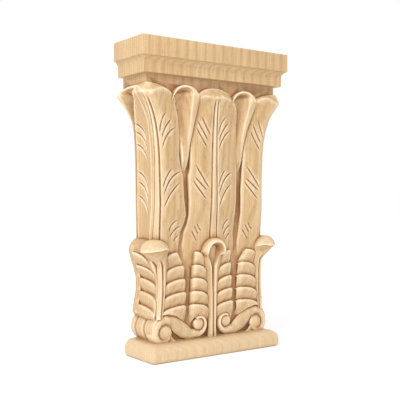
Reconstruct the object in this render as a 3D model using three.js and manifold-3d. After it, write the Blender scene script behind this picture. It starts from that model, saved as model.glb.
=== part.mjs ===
import * as THREE from "three";
import Module from "manifold-3d";
import { mergeVertices } from "three/addons/utils/BufferGeometryUtils.js";

const wasm = await Module();
wasm.setup();

// A carved wooden pilaster capital, in millimetres, +Z up.
// It stands on its flat underside, its flat back faces +Y and its carved face -Y.
// The origin is at the middle of its box, at the bottom.

// Block of wood
const blockDepth = 46;

// Base, a rounded moulding that runs round three sides
const baseHalfWidth = 66;
const baseHeight = 14;
const baseTopRound = 7.5;
const baseUnderRound = 3.2;
const baseCorner = 2.5;

// Ground, the sunk face that the carving stands on
const groundHalfWidth = 50.5;
const groundDepth = 32;
const cornerRound = 4.5;

// Lower tier of curled leaves, above the scrolls
const scrollHeight = 22;
const lowerTierHeight = 61.5;
const lowerFace = 36.6;
const lowerHalfWidth = 54.5;
const rollReach = 61;
const barrelReach = 59.5;
const lowerStemRise = 0.6;
const sideWallHalfWidth = 52.6;
const curlRadius = 12;
const curlReach = 5.8;
const cornerCurlRadius = 13.4;
const cornerCurlReach = 8;
const cornerCurlRise = 7.8;
const lobeCount = 5;
const lobeBow = 8;
const scrollFace = 36;
const outerVolute = { x: 47.5, radius: 12, eye: 6.2 };
const innerVolute = { x: 13.9, radius: 9.5, eye: 5 };
const scrollBandHalf = 2.8;

// Upper tier of tall leaves
const upperTierHeight = 125;
const leafFace = 38.6;
const leafHalfWidth = 55.5;
const frontFlare = 4.3;
const sideFlare = 16;
const tipBevel = 7.5;
const leafFall = 3.2;
const leafRound = 8;
const ribShift = 2.8;
const ribGroove = 1.3;
const middleShoulder = 27;
const frontShoulder = 14;
const sideShoulder = 9;
const smallLeafLength = 70;

// Neck and the two fascias of the abacus, with a cove between them
const neckHalfWidth = 66.3;
const neckFace = 36.7;
const neckHeight = 7.2;
const lowerFasciaHalfWidth = 71.2;
const lowerFasciaFace = 41.7;
const lowerFasciaHeight = 7.3;
const coveHeight = 5.6;
const abacusHalfWidth = 75;
const abacusHeight = 15.4;

// Heights that follow from those
const scrollTop = baseHeight + scrollHeight;
const lowerTop = scrollTop + lowerTierHeight;
const leafTop = lowerTop + upperTierHeight;
const leafTip = leafTop - tipBevel;
const neckBottom = leafTip - 6;
const neckTop = leafTop + neckHeight;
const lowerFasciaTop = neckTop + lowerFasciaHeight;
const abacusBottom = lowerFasciaTop + coveHeight;
const abacusTop = abacusBottom + abacusHeight;
const curlBottom = lowerTop - curlRadius;

const backY = blockDepth / 2;
const place = (x, depth, z) => new THREE.Vector3(x, backY - depth, z);

const clamp = (value) => Math.min(1, Math.max(0, value));

function ease(value, low, high) {
  const share = clamp((value - low) / (high - low));
  return share * share * (3 - 2 * share);
}

// Value of a smooth-enough profile given as [place, value] steps
function along(steps, at) {
  if (at <= steps[0][0]) return steps[0][1];
  for (let i = 1; i < steps.length; i += 1) {
    const [from, low] = steps[i - 1];
    const [to, high] = steps[i];
    if (at <= to) return low + ((high - low) * (at - from)) / (to - from);
  }
  return steps[steps.length - 1][1];
}

function toSolid(points, triangles) {
  const geometry = new THREE.BufferGeometry();
  const numbers = points.flatMap((point) => [point.x, point.y, point.z]);
  geometry.setAttribute("position", new THREE.Float32BufferAttribute(numbers, 3));
  geometry.setIndex(triangles.flat());
  return fromGeometry(geometry);
}

function fromGeometry(source) {
  source.deleteAttribute("normal");
  source.deleteAttribute("uv");
  const geometry = mergeVertices(source, 1e-5);
  return new wasm.Manifold(new wasm.Mesh({
    numProp: 3,
    vertProperties: new Float32Array(geometry.attributes.position.array),
    triVerts: new Uint32Array(geometry.index.array),
  }));
}

// Rings of as many points each, stacked upwards and closed by flat ends
function stack(rings) {
  const size = rings[0].length;
  const triangles = [];
  for (let row = 0; row + 1 < rings.length; row += 1) {
    for (let i = 0; i < size; i += 1) {
      const a = row * size + i;
      const b = row * size + ((i + 1) % size);
      triangles.push([a, b, b + size], [a, b + size, a + size]);
    }
  }
  const last = (rings.length - 1) * size;
  for (let i = 1; i + 1 < size; i += 1) {
    triangles.push([0, i + 1, i], [last, last + i, last + i + 1]);
  }
  return toSolid(rings.flat(), triangles);
}

// A carved skin over a second one sunk in the block: rows run up, each left to right seen from outside
function slab(outer, inner) {
  const rows = outer.length;
  const columns = outer[0].length;
  const inside = rows * columns;
  const triangles = [];
  for (let r = 0; r + 1 < rows; r += 1) {
    for (let c = 0; c + 1 < columns; c += 1) {
      const a = r * columns + c;
      const b = a + 1;
      const d = a + columns;
      const e = d + 1;
      triangles.push([a, b, e], [a, e, d]);
      triangles.push([inside + a, inside + e, inside + b], [inside + a, inside + d, inside + e]);
    }
  }
  const wall = (a, b) => triangles.push([b, a, inside + a], [b, inside + a, inside + b]);
  for (let c = 0; c + 1 < columns; c += 1) {
    wall(c, c + 1);
    wall((rows - 1) * columns + c + 1, (rows - 1) * columns + c);
  }
  for (let r = 0; r + 1 < rows; r += 1) {
    wall((r + 1) * columns, r * columns);
    wall(r * columns + columns - 1, (r + 1) * columns + columns - 1);
  }
  return toSolid([...outer.flat(), ...inner.flat()], triangles);
}

function mirrored(solid) {
  return solid.mirror([1, 0, 0]);
}

// Plan of the block at one height: flat back, square back corners, rounded front corners
function plan(z, halfWidth, depth, radius) {
  const steps = 4;
  const ring = [place(halfWidth, 0, z), place(-halfWidth, 0, z)];
  for (const side of [-1, 1]) {
    for (let i = 0; i <= steps; i += 1) {
      const turn = ((side < 0 ? i : steps - i) / steps) * (Math.PI / 2);
      const x = halfWidth - radius + radius * Math.cos(turn);
      ring.push(place(side * x, depth - radius + radius * Math.sin(turn), z));
    }
  }
  return ring;
}

// How far up the upper tier a height is, from 0 at its foot to 1 at the leaves' tops
const upUpper = (z) => (z - lowerTop) / upperTierHeight;

// The side wall of the lower tier swells into a roll at its top: [share of the tier, share of the swell]
const wallSwell = [[0, 0], [0.45, 0], [0.58, 0.3], [0.72, 0.75], [0.83, 1], [0.92, 0.85], [0.985, 0.45],
  [1, 0]];
function sideWall(z) {
  const share = (z - scrollTop) / lowerTierHeight;
  return sideWallHalfWidth + along(wallSwell, share) * (rollReach - sideWallHalfWidth);
}

// The block with its mouldings, from the underside to the top
function carcase() {
  const rings = [];
  const baseSection = [[0, baseUnderRound], [0.085, baseUnderRound / 2], [0.21, 0.5], [0.39, 0],
    [0.57, 0.15], [0.75, 1.2], [0.885, 3.2], [0.965, 5.4], [1, baseTopRound]];
  for (const [share, inset] of baseSection) {
    const corner = Math.max(baseCorner - inset / 2, 1);
    rings.push(plan(share * baseHeight, baseHalfWidth - inset, blockDepth - inset, corner));
  }
  rings.push(plan(baseHeight, sideWallHalfWidth, groundDepth, 1));
  for (const [share] of wallSwell.slice(1)) {
    const z = scrollTop + share * lowerTierHeight;
    rings.push(plan(z, sideWall(z), groundDepth, 1));
  }
  rings.push(plan(lowerTop, groundHalfWidth, groundDepth, 1));
  for (const share of [0.55, 0.75, 0.86]) {
    const half = groundHalfWidth + sideFlare * share ** 6;
    rings.push(plan(lowerTop + share * upperTierHeight, half, groundDepth, 1));
  }
  rings.push(plan(neckBottom, groundHalfWidth + sideFlare / 2, groundDepth, 1));
  rings.push(plan(neckBottom, groundHalfWidth + sideFlare / 2, neckFace, 0.6));
  rings.push(plan(leafTip, neckHalfWidth, neckFace, 0.6));
  rings.push(plan(neckTop, neckHalfWidth, neckFace, 0.6));
  rings.push(plan(neckTop, lowerFasciaHalfWidth, lowerFasciaFace, 0.6));
  rings.push(plan(lowerFasciaTop, lowerFasciaHalfWidth, lowerFasciaFace, 0.6));
  const coveSteps = 4;
  for (let i = 1; i <= coveSteps; i += 1) {
    const turn = (Math.PI / 2) * (i / coveSteps);
    const out = 1 - Math.cos(turn);
    const wide = lowerFasciaHalfWidth + out * (abacusHalfWidth - lowerFasciaHalfWidth);
    const deep = lowerFasciaFace + out * (blockDepth - lowerFasciaFace);
    rings.push(plan(lowerFasciaTop + coveHeight * Math.sin(turn), wide, deep, 0.6));
  }
  rings.push(plan(abacusTop, abacusHalfWidth, blockDepth, 0.6));
  return stack(rings);
}

// Where the tall leaves' crests run: out to the side and out to the front, at each height
const flareShare = (z) => clamp((z - lowerTop) / (leafTip - lowerTop)) ** 6;
const tallSide = (z) => leafHalfWidth + sideFlare * flareShare(z) - 7 * ease(lowerTop - z, 0, 20);
function tallFront(z) {
  const waist = 2 * ease(0.26 - upUpper(z), 0, 0.26) + 5 * ease(-upUpper(z), 0, 0.38);
  return leafFace + frontFlare * flareShare(z) - waist;
}

// The same for the lower tier's corner stem and for the lobes on its side
function lowSide(z) {
  const waist = 1.5 * Math.sin(Math.PI * clamp((z - scrollTop) / (lowerTierHeight * 0.8)));
  return lowerHalfWidth + 1 - waist + 4 * ease(z, curlBottom - 9, curlBottom + 2);
}
const lobeSide = (z) => Math.max(sideWall(z) + 1.7, lowerHalfWidth);
const lowFront = () => lowerFace;

// A point on the front at a distance across from a leaf's middle line, positive to the right
const onFront = (front) => (across, out, z) => place(across, front(z) + out, z);

// A point round the right-hand corner, at a distance from the leaf's middle line, positive towards the back
function onCorner(side, front, rounding, shift) {
  const quarter = (rounding * Math.PI) / 4;
  return (distance, out, z) => {
    const across = distance + shift;
    const x = side(z) - rounding;
    const depth = front(z) - rounding;
    if (across < -quarter) return place(x + across + quarter, depth + rounding + out, z);
    if (across > quarter) return place(x + rounding + out, depth - across + quarter, z);
    const turn = Math.PI / 4 - across / rounding;
    return place(x + (rounding + out) * Math.cos(turn), depth + (rounding + out) * Math.sin(turn), z);
  };
}

// Where each carved skin's back lies, sunk in the block
const sunkBehind = (point) => point.clone().setY(point.y + groundDepth / 2);
const sunkFromSide = (point) => point.clone().setX(point.x - groundDepth / 2);
function sunkInCorner(point) {
  const middle = place(groundHalfWidth * 0.75, groundDepth * 0.45, point.z);
  return point.clone().lerp(middle, 0.62);
}
const withBack = (rows, sink) => slab(rows, rows.map((row) => row.map(sink)));

// Heights of a tall leaf's rows, as shares of its length
const tallLeafRows = [0, 0.13, 0.23, 0.31, 0.4, 0.49, 0.61, 0.67, 0.78, 0.86, 0.91, 0.955, 0.985, 1];

// A tall leaf: two halves that fall from a grooved rib to a rounded edge, under an arched and bevelled tip
function tallLeaf(at, sink, left, right) {
  const foot = scrollTop + 8;
  const half = (column) => (column < 0 ? left : right);
  function arch(share, column) {
    const { shoulder, power } = half(column);
    return leafTop - shoulder + shoulder * (1 - Math.min(1, share) ** power) ** (1 / power);
  }
  function spot(column, z) {
    const edge = half(column).edge(z);
    const groove = 1.3 + 2.2 * clamp(1 - upUpper(z));
    const beside = [0, groove - 0.9, groove, groove + 0.9];
    const columns = [...beside, edge * 0.35, edge * 0.55, edge * 0.74, edge * 0.9, edge - 1, edge];
    const across = columns[Math.abs(column)];
    const share = across / edge;
    const cut = Math.abs(column) === 2 ? ribGroove * ease(leafTip - z, 1, 8) : 0;
    const chamfer = Math.abs(column) === 9 ? 1 : 0;
    const fall = leafFall * (0.45 * share + 0.55 * share ** 2.4) * (1 - 0.5 * flareShare(z));
    return { across: Math.sign(column) * across, share, fall: fall + cut + chamfer };
  }
  const columns = [];
  for (let column = -9; column <= 9; column += 1) columns.push(column);
  const rows = tallLeafRows.map((part) => columns.map((column) => {
    const rough = spot(column, foot + part * (leafTip - foot));
    const lip = (tipBevel - 1.3) * clamp(1 - (rough.share / 0.86) ** 2) ** 0.8;
    const ceiling = arch(rough.share, column) - 1.3 - lip;
    const z = foot + part * (ceiling - foot);
    const { across, share, fall } = spot(column, z);
    const lean = frontFlare * flareShare(z) * 0.5 * share ** 2;
    return at(across, -fall - lean, z);
  }));
  rows.push(columns.map((column) => {
    const z = arch(spot(column, leafTip).share, column);
    return at(spot(column, z).across * 0.99, -frontFlare, z);
  }));
  return withBack(rows, sink);
}

// Edges of the tall leaves, given as [share of the upper tier, distance]: half-width, |x| and depth
const middleEdge = [[-0.38, 20], [-0.05, 26], [0.06, 25.5], [0.42, 25], [0.48, 23], [0.64, 22.7], [1, 23]];
const innerEdge = [[-0.38, 34], [-0.05, 30], [0.06, 29.5], [0.42, 30], [0.48, 32.8], [0.64, 33],
  [0.73, 34.2], [0.8, 36.2], [0.88, 39.6], [1, 41]];
const backEdge = [[-0.38, 8], [0.02, 4.5], [0.26, 3], [0.64, 4], [0.73, 5], [0.79, 7], [0.86, 11.5],
  [0.924, 18.5], [1, 20]];

function middleLeaf() {
  const half = { edge: (z) => along(middleEdge, upUpper(z)), shoulder: middleShoulder, power: 2.4 };
  return tallLeaf(onFront(tallFront), sunkBehind, half, half);
}

function cornerLeaf() {
  const spare = leafRound * (1 - Math.PI / 4);
  const front = {
    edge: (z) => tallSide(z) - along(innerEdge, upUpper(z)) - spare + ribShift,
    shoulder: frontShoulder,
    power: 2.4,
  };
  const side = {
    edge: (z) => tallFront(z) - along(backEdge, upUpper(z)) - spare - ribShift,
    shoulder: sideShoulder,
    power: 3.2,
  };
  return tallLeaf(onCorner(tallSide, tallFront, leafRound, ribShift), sunkInCorner, front, side);
}

// Half-width of a lower leaf under its curl, as [share of the height, half-width]: a stem over a spread foot
const stemWidths = [[0, 4.4], [0.11, 3.6], [0.31, 4.2], [0.51, 5], [0.68, 5.8], [0.82, 7.2], [0.9, 9.4],
  [1, 12]];
const stemHalf = (z) => along(stemWidths, (z - baseHeight) / (curlBottom - baseHeight));

// Height of a stem's surface: a rib between two grooves, with rounded banks
function stemSurface(share, z, neck) {
  const side = Math.abs(share);
  const cut = side === 0.46 ? (ribGroove + 0.3) * ease(neck + 2 - z, 0, 10) : 0;
  return lowerStemRise - cut - 2.3 * side ** 3;
}

const curlShares = [-1, -0.86, -0.66, -0.46, -0.26, 0, 0.26, 0.46, 0.66, 0.86, 1];
const stemShares = [0, 0.14, 0.36, 0.6, 0.8, 1];

// The middle leaf of the lower tier: its tip rolls forwards in a thick rim over a scoop
function curledLeaf() {
  const at = onFront(lowFront);
  const foot = baseHeight - 0.5;
  const hook = curlBottom - 5;
  const neck = hook - 2;
  const rimWidth = 8.4;
  const rows = stemShares.map((part) => curlShares.map((share) => {
    const z = foot + part * (neck - foot);
    return at(share * stemHalf(z), stemSurface(share, z, neck), z);
  }));
  for (const part of [0.2, 0.36, 0.5, 0.64, 0.78, 0.9, 0.97, 1]) {
    rows.push(curlShares.map((share) => {
      const top = curlBottom + curlRadius * Math.sqrt(1 - share ** 2);
      const z = neck + part * (top - neck);
      const under = clamp((curlBottom - 2.6 - z) / 2.4);
      const grown = curlRadius - (curlRadius - stemHalf(hook)) * (1 - Math.sqrt(1 - under ** 2));
      const across = share * grown;
      const inset = Math.max(0, curlRadius - Math.hypot(across, Math.max(0, z - curlBottom)));
      const risen = Math.sqrt(1 - (1 - clamp(inset / 3)) ** 2) * (1 - ease(inset, 3.2, rimWidth));
      const ends = Math.sqrt(1 - clamp((curlBottom + 0.6 - z) / 3.6) ** 2);
      const long = ease(z, neck, neck + 3) * ease(lowerTop - z, 4, 8);
      const scoop = 1.8 * clamp(1 - (across / 4.6) ** 2) * long;
      return at(across, stemSurface(share, z, neck - 9) + curlReach * risen * ends - scoop, z);
    }));
  }
  return withBack(rows, sunkBehind);
}

// The larger curl on a corner: a dome whose underside sweeps back to the stem
function cornerCurl() {
  const at = onCorner(lowSide, lowFront, cornerRound, 0);
  const foot = scrollTop - 3;
  const heart = lowerTop - cornerCurlRise;
  const underside = cornerCurlRise + 1.7;
  const neck = heart - underside;
  const rows = stemShares.map((part) => curlShares.map((share) => {
    const z = foot + part * (neck - foot);
    return at(share * (stemHalf(z) + 0.6), stemSurface(share, z, neck), z);
  }));
  for (const part of [0.2, 0.38, 0.55, 0.7, 0.83, 0.94, 1]) {
    rows.push(curlShares.map((share) => {
      const side = Math.abs(share);
      const top = heart + cornerCurlRise * Math.sqrt(clamp(1 - side ** 2.2)) + 0.05;
      const z = neck + part * (top - neck);
      const above = clamp((z - heart) / cornerCurlRise);
      const below = clamp((heart - z) / underside);
      const stem = stemHalf(Math.min(z, neck)) + 0.6;
      const half = stem + (cornerCurlRadius - stem) * (1 - below ** 1.6) ** 0.8;
      const dome = Math.sqrt(clamp(1 - side ** 2.3 - above ** 2)) * (1 - below) ** 0.75;
      return at(share * half, stemSurface(share, z, neck - 9) + cornerCurlReach * dome, z);
    }));
  }
  return withBack(rows, sunkInCorner);
}

// A column of scale-like lobes beside a stem: each rises in an arc and laps over the one above
function lobes(at, sink, side, farEdge) {
  const forms = [];
  const firstTop = curlBottom + 2.6;
  const pitch = (firstTop - scrollTop - 7) / (lobeCount - 1);
  const steps = [0, 0.15, 0.4, 0.7, 0.9, 1];
  const falls = [[1.45, 3.6], [0.6, 0.7], [0.14, 0], [0, 1.1]];
  for (let i = 0; i < lobeCount; i += 1) {
    const top = firstTop - pitch * i;
    const far = farEdge - 3.2 + 0.9 * i;
    const near = stemHalf(top - 10) + 1.4;
    const rows = falls.map(([down, drop]) => steps.map((step) => {
      const arc = lobeBow * (1 - Math.sqrt(1 - (1 - clamp(step / 0.86)) ** 2));
      const z = top - arc - 1.8 * step ** 8 - down * pitch;
      const roundOff = 2.2 * step ** 8 + 0.8 * (1 - step) ** 4;
      return at(side * (near + step * (far - near)), 0.4 - drop - roundOff, z);
    }));
    const ordered = side < 0 ? rows.map((row) => row.slice().reverse()) : rows;
    forms.push(withBack(ordered, sink));
  }
  return forms;
}

// Centres of the two volutes of the right-hand scroll
const outerVoluteZ = baseHeight + outerVolute.radius - 1.6;
const innerVoluteZ = baseHeight + innerVolute.radius + 1;

// The band of one S scroll, from under the outer volute over its top and down round the inner one
function scrollBand() {
  const middleZ = baseHeight + scrollHeight / 2;
  const middleX = (outerVolute.x + innerVolute.x) / 2;
  const path = [];
  const addTurn = (x, z, radius, degrees, half) => {
    const turn = (degrees * Math.PI) / 180;
    path.push([x + radius * Math.cos(turn), z + radius * Math.sin(turn), half]);
  };
  const outerTurn = (outerVolute.radius + outerVolute.eye) / 2;
  const innerTurn = (innerVolute.radius + innerVolute.eye) / 2;
  for (const degrees of [-105, -74, -43, -12, 19, 50, 80]) {
    addTurn(outerVolute.x, outerVoluteZ, outerTurn, degrees, scrollBandHalf);
  }
  path.push([middleX + 9, middleZ + 6, 2 * scrollBandHalf]);
  path.push([middleX + 1.5, middleZ + 2.4, 2.5 * scrollBandHalf]);
  path.push([middleX - 6, middleZ - 2, 2.1 * scrollBandHalf]);
  for (const degrees of [-80, -110, -145, -180, -215, -250, -285]) {
    const closing = 1 + (degrees + 80) / 600;
    addTurn(innerVolute.x, innerVoluteZ, innerTurn * closing, degrees, 0.82 * scrollBandHalf);
  }
  const points = path.map(([x, z]) => new THREE.Vector3(x, 0, z));
  const line = new THREE.CatmullRomCurve3(points, false, "centripetal");
  const widths = new THREE.CatmullRomCurve3(path.map(([, , half]) => new THREE.Vector3(half, 0, 0)));
  const steps = 30;
  const rows = [];
  for (let i = 0; i <= steps; i += 1) {
    const point = line.getPoint(i / steps);
    const tangent = line.getTangent(i / steps);
    const half = widths.getPoint(i / steps).x;
    const across = new THREE.Vector3(-tangent.z, 0, tangent.x);
    rows.push([1, 0.6, 0, -0.6, -1].map((side) => {
      const spot = point.clone().addScaledVector(across, side * half);
      return place(spot.x, scrollFace - 1.8 * Math.abs(side) ** 3, spot.z);
    }));
  }
  return withBack(rows, (point) => point.clone().setY(point.y + 9));
}

// A form turned on an axis that runs front to back, from [radius, depth] steps
function turned(steps, segments, x, z) {
  const profile = steps.map(([radius, depth]) => new THREE.Vector2(radius, depth));
  const geometry = new THREE.LatheGeometry(profile, segments);
  geometry.rotateX(Math.PI);
  const shift = place(x, 0, z);
  geometry.translate(shift.x, shift.y, shift.z);
  return fromGeometry(geometry);
}

// A domed round boss at a volute's heart
function boss(x, z, radius) {
  const rim = scrollFace - 1.8;
  const rise = 2;
  const steps = [[0, rim - 8], [radius, rim - 8], [radius, rim]];
  for (const degrees of [30, 60]) {
    const turn = (degrees * Math.PI) / 180;
    steps.push([radius * Math.cos(turn), rim + rise * Math.sin(turn)]);
  }
  steps.push([0, rim + rise]);
  return turned(steps, 14, x, z);
}

// The roll that the scroll makes along the side, turned in three swellings from back to front
function sideRoll() {
  const cuts = [[0, 0.5], [2.5, 0.05], [5, 0.1], [7.2, 1.2], [9.5, 0.1], [14, -0.1], [18.5, 0.1],
    [20.6, 1.2], [23, 0.1], [28, -0.1], [32, 0.2], [scrollFace - 2, 1]];
  const steps = [[0, 0]];
  for (const [depth, cut] of cuts) steps.push([outerVolute.radius - cut, depth]);
  steps.push([0, scrollFace - 2]);
  return turned(steps, 17, barrelReach - outerVolute.radius, outerVoluteZ);
}

// A scooped leaf of the second plane, with a broad rounded rim
function smallLeaf(at, sink, centre, half, foot, footDrop, tipFall) {
  const shoulder = leafTop - frontShoulder;
  const heights = [0, 0.25, 0.45, 0.6, 0.72, 0.82, 0.9, 0.96, 1];
  const shares = [-1, -0.86, -0.7, -0.5, -0.25, 0, 0.25, 0.5, 0.7, 0.86, 1];
  const rows = heights.map((height) => shares.map((share) => {
    const side = Math.abs(share);
    const top = shoulder + (leafTop - shoulder) * Math.sqrt(1 - 0.96 * share ** 2);
    const z = foot + height * (top - foot);
    const rise = -footDrop * (1 - ease(z, foot, leafTop - 6)) - tipFall * clamp((z - leafTip) / tipBevel);
    const deep = ease(z, foot + 16, leafTop - 12) * ease(leafTop - z, 0.5, 5);
    const scoop = 5 * clamp(1 - (side / 0.72) ** 2) * deep;
    const fall = 1.8 * clamp((side - 0.7) / 0.3) ** 2;
    return at(centre(z) + share * half(z), rise - scoop - fall, z);
  }));
  return withBack(rows, sink);
}

// Between two tall leaves on the front
function frontSmallLeaf() {
  const widths = [[0.42, 3.4], [0.62, 5], [0.74, 8], [0.82, 10.5], [0.9, 13], [1, 14.5]];
  const centre = (z) => 28 + 2.5 * ease(upUpper(z), 0.66, 1);
  const half = (z) => along(widths, upUpper(z));
  return smallLeaf(onFront(tallFront), sunkBehind, centre, half, leafTop - smallLeafLength, 4.6, 0.8);
}

// The half of a small leaf that shows at the back of each side, given by where its rim stands at each height
function sideSmallLeaf() {
  const middleDepth = 14;
  const rim = [[0, 54.8], [0.18, 55.8], [0.34, 57], [0.54, 58.4], [0.64, 60.6], [0.74, 64], [0.8, 67.8],
    [0.86, 72], [1, leafHalfWidth + sideFlare + 1]];
  const widths = [[0, 15], [0.42, 15], [0.62, 15.5], [0.74, 16], [0.82, 16.5], [0.9, 17], [1, 18]];
  const at = (across, out, z) => {
    const depth = middleDepth - across;
    const sunk = 6 * ease(depth - along(backEdge, upUpper(z)), -4, 6);
    return place(along(rim, upUpper(z)) + out - sunk, depth, z);
  };
  return smallLeaf(at, sunkFromSide, () => 0, (z) => along(widths, upUpper(z)), lowerTop - 1, 0, 5);
}

// The capital: its block, then each form, carved again on the other side where it is one of a pair
const frontLobes = onFront(lowFront);
const cornerLobes = onCorner(lowSide, lowFront, cornerRound, 0);
const sideLobes = onCorner(lobeSide, lowFront, cornerRound, 0);
const rightSide = [
  cornerLeaf(),
  cornerCurl(),
  sideSmallLeaf(),
  frontSmallLeaf(),
  ...lobes(frontLobes, sunkBehind, 1, 22.5),
  ...lobes(cornerLobes, sunkInCorner, -1, 27.5),
  ...lobes(sideLobes, sunkInCorner, 1, 27.5),
  scrollBand(),
  boss(outerVolute.x - 1, outerVoluteZ - 1.2, outerVolute.eye),
  boss(innerVolute.x, innerVoluteZ, innerVolute.eye),
  sideRoll(),
];
let capital = carcase().add(middleLeaf()).add(curledLeaf());
for (const form of rightSide) {
  capital = capital.add(form).add(mirrored(form));
}
const blank = new THREE.BoxGeometry(2 * abacusHalfWidth, blockDepth, abacusTop);
blank.translate(0, 0, abacusTop / 2);
capital = capital.intersect(fromGeometry(blank));

function toMesh(solid, name, material) {
  const result = solid.getMesh();
  const geometry = new THREE.BufferGeometry();
  geometry.setAttribute("position", new THREE.BufferAttribute(new Float32Array(result.vertProperties), 3));
  geometry.setIndex(new THREE.BufferAttribute(new Uint32Array(result.triVerts), 1));
  geometry.computeVertexNormals();
  const mesh = new THREE.Mesh(geometry, material);
  mesh.name = name;
  return mesh;
}

const paleWood = new THREE.MeshStandardMaterial({ color: 0xdcb98c, roughness: 0.62, metalness: 0 });
const group = new THREE.Group();
group.add(toMesh(capital, "carved_capital", paleWood));

export default group;
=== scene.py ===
# A pilaster capital carved from one block of pale hardwood, on a pale studio floor.
import math

import bpy
import numpy as np
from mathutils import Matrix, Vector


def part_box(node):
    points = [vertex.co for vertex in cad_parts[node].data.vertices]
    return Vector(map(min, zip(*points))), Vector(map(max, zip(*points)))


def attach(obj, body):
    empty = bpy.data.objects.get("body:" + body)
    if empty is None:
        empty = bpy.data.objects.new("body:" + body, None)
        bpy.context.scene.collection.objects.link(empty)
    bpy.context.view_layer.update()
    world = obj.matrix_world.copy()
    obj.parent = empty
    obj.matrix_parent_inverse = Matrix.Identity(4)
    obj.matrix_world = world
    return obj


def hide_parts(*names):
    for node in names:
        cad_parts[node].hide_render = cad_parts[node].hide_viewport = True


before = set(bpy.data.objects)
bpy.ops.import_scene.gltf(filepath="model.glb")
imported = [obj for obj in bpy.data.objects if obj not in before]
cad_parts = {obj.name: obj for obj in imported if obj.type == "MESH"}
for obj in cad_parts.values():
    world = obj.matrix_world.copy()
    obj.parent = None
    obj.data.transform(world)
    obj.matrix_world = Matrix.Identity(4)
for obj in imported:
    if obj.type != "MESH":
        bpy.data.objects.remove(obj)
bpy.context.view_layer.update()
LOW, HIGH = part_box("carved_capital")

# The drawing is in millimetres of a capital 258 mm high; the frame gives the real height.
DRAWN_HEIGHT = 258.0
MM = (HIGH.z - LOW.z) / DRAWN_HEIGHT
BACK = HIGH.y
BLOCK_DEPTH = (HIGH.y - LOW.y) / MM
ABACUS_HALF = (HIGH.x - LOW.x) / 2 / MM

# Levels from the underside up
BASE_TOP = 14.0
SCROLL_TOP = 36.0
LOWER_TOP = 97.5
LEAF_TOP = 222.5
LEAF_TIP = 215.0
NECK_TOP = 229.7
LOWER_FASCIA_TOP = 237.0
COVE_TOP = 242.6

# Sunk ground and the corner between front and side
GROUND_HALF = 50.5
GROUND_DEPTH = 32.0
CORNER_ROUND = 4.5
LEAF_ROUND = 8.0
# The corner leaf's rib stands this far round the corner from its middle
RIB_SHIFT = 2.8

# Tall leaves
LEAF_HALF = 55.5
LEAF_FACE = 38.6
FRONT_FLARE = 4.3
SIDE_FLARE = 16.0
FLARE_POWER = 6
LEAF_FALL = 3.4
RIB_GROOVE = 1.5

# Curled leaves, lobes and scrolls
LOWER_FACE = 36.6
LOWER_HALF = 54.5
SIDE_WALL = 52.6
STEM_RISE = 0.6
CURL_RADIUS = 12.0
CURL_REACH = 4.8
CORNER_CURL_RADIUS = 13.4
CORNER_CURL_REACH = 8.2
CORNER_CURL_RISE = 9.4
LOBE_COUNT = 5
# Where the lobes end: across from the middle of the front, and each way from the middle of the corner
FRONT_LOBE_EDGE = 22.5
CORNER_LOBE_EDGE = 27.5
SIDE_LOBE_EDGE = 34.5
ROLL_REACH = 61.0
BARREL_REACH = 59.5
SCROLL_FACE = 36.2
# Each volute's place across and up, its outer radius and the radius of its eye
OUTER_VOLUTE = (46.9, 21.5, 12.0, 5.9)
INNER_VOLUTE = (14.3, 26.0, 9.5, 4.8)
MARGIN_PROUD = 1.9
MARGIN_DEPTH = 7.5

# Fineness of the finished mesh, and the angle between faces above which an edge stays sharp
VOXEL = 0.34
MOST_TRIANGLES = 188000
SHARP_DEGREES = 50


def ease(value, low, high):
    """A share that rises gently from 0 at the low value to 1 at the high one."""
    share = np.clip((value - low) / (high - low), 0, 1)
    return share * share * (3 - 2 * share)


def profile(steps, blur=5.0):
    """A smooth curve through given steps of (place, value), rounded over the blur length."""
    places = np.array([step[0] for step in steps], float)
    values = np.array([step[1] for step in steps], float)
    width = 17
    fine = np.arange(places[0] - 2 * blur, places[-1] + 2 * blur, blur / (width - 1))
    kernel = np.hanning(width + 2)[1:-1]
    drawn = np.interp(fine, places, values)
    padded = np.pad(drawn, width // 2, mode="edge")
    smooth = np.convolve(padded, kernel / kernel.sum(), mode="valid")
    return lambda at: np.interp(at, fine, smooth)


def place(x, depth, z):
    """Points in metres from millimetres across, forward of the flat back, and up."""
    x, depth, z = np.broadcast_arrays(x, depth, z)
    return np.stack([x * MM, BACK - depth * MM, LOW.z + z * MM], -1)


def set_points(mesh, points):
    mesh.vertices.foreach_set("co", np.ascontiguousarray(points, np.float32).ravel())
    mesh.update()


def get_points(mesh):
    flat = np.empty(len(mesh.vertices) * 3, np.float32)
    mesh.vertices.foreach_get("co", flat)
    return flat.reshape(-1, 3).astype(float)


def carved_skin(name, columns, rows, shape, sink):
    """A grid laid over one carved form, then extruded back into the block to close it."""
    bpy.ops.object.select_all(action="DESELECT")
    bpy.ops.mesh.primitive_grid_add(x_subdivisions=columns, y_subdivisions=rows, size=2)
    piece = bpy.context.object
    piece.name = name
    flat = get_points(piece.data)
    set_points(piece.data, shape(flat[:, 0], (flat[:, 1] + 1) / 2))
    bpy.ops.object.mode_set(mode="EDIT")
    bpy.ops.mesh.select_all(action="SELECT")
    bpy.ops.mesh.extrude_region_move()
    bpy.ops.object.mode_set(mode="OBJECT")
    chosen = np.empty(len(piece.data.vertices), bool)
    piece.data.vertices.foreach_get("select", chosen)
    points = get_points(piece.data)
    points[chosen] = sink(points[chosen])
    set_points(piece.data, points)
    return piece


def sunk_behind(points):
    """Straight back into the block."""
    back = points.copy()
    back[:, 1] += GROUND_DEPTH / 2 * MM
    return back


def sunk_in_corner(points):
    """Towards an upright line inside the block's corner."""
    share_of_way = 0.62
    side = np.sign(points[:, 0])
    heart = place(side * GROUND_HALF * 0.75, GROUND_DEPTH * 0.45, 0)
    heart[:, 2] = points[:, 2]
    return points + (heart - points) * share_of_way


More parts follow.
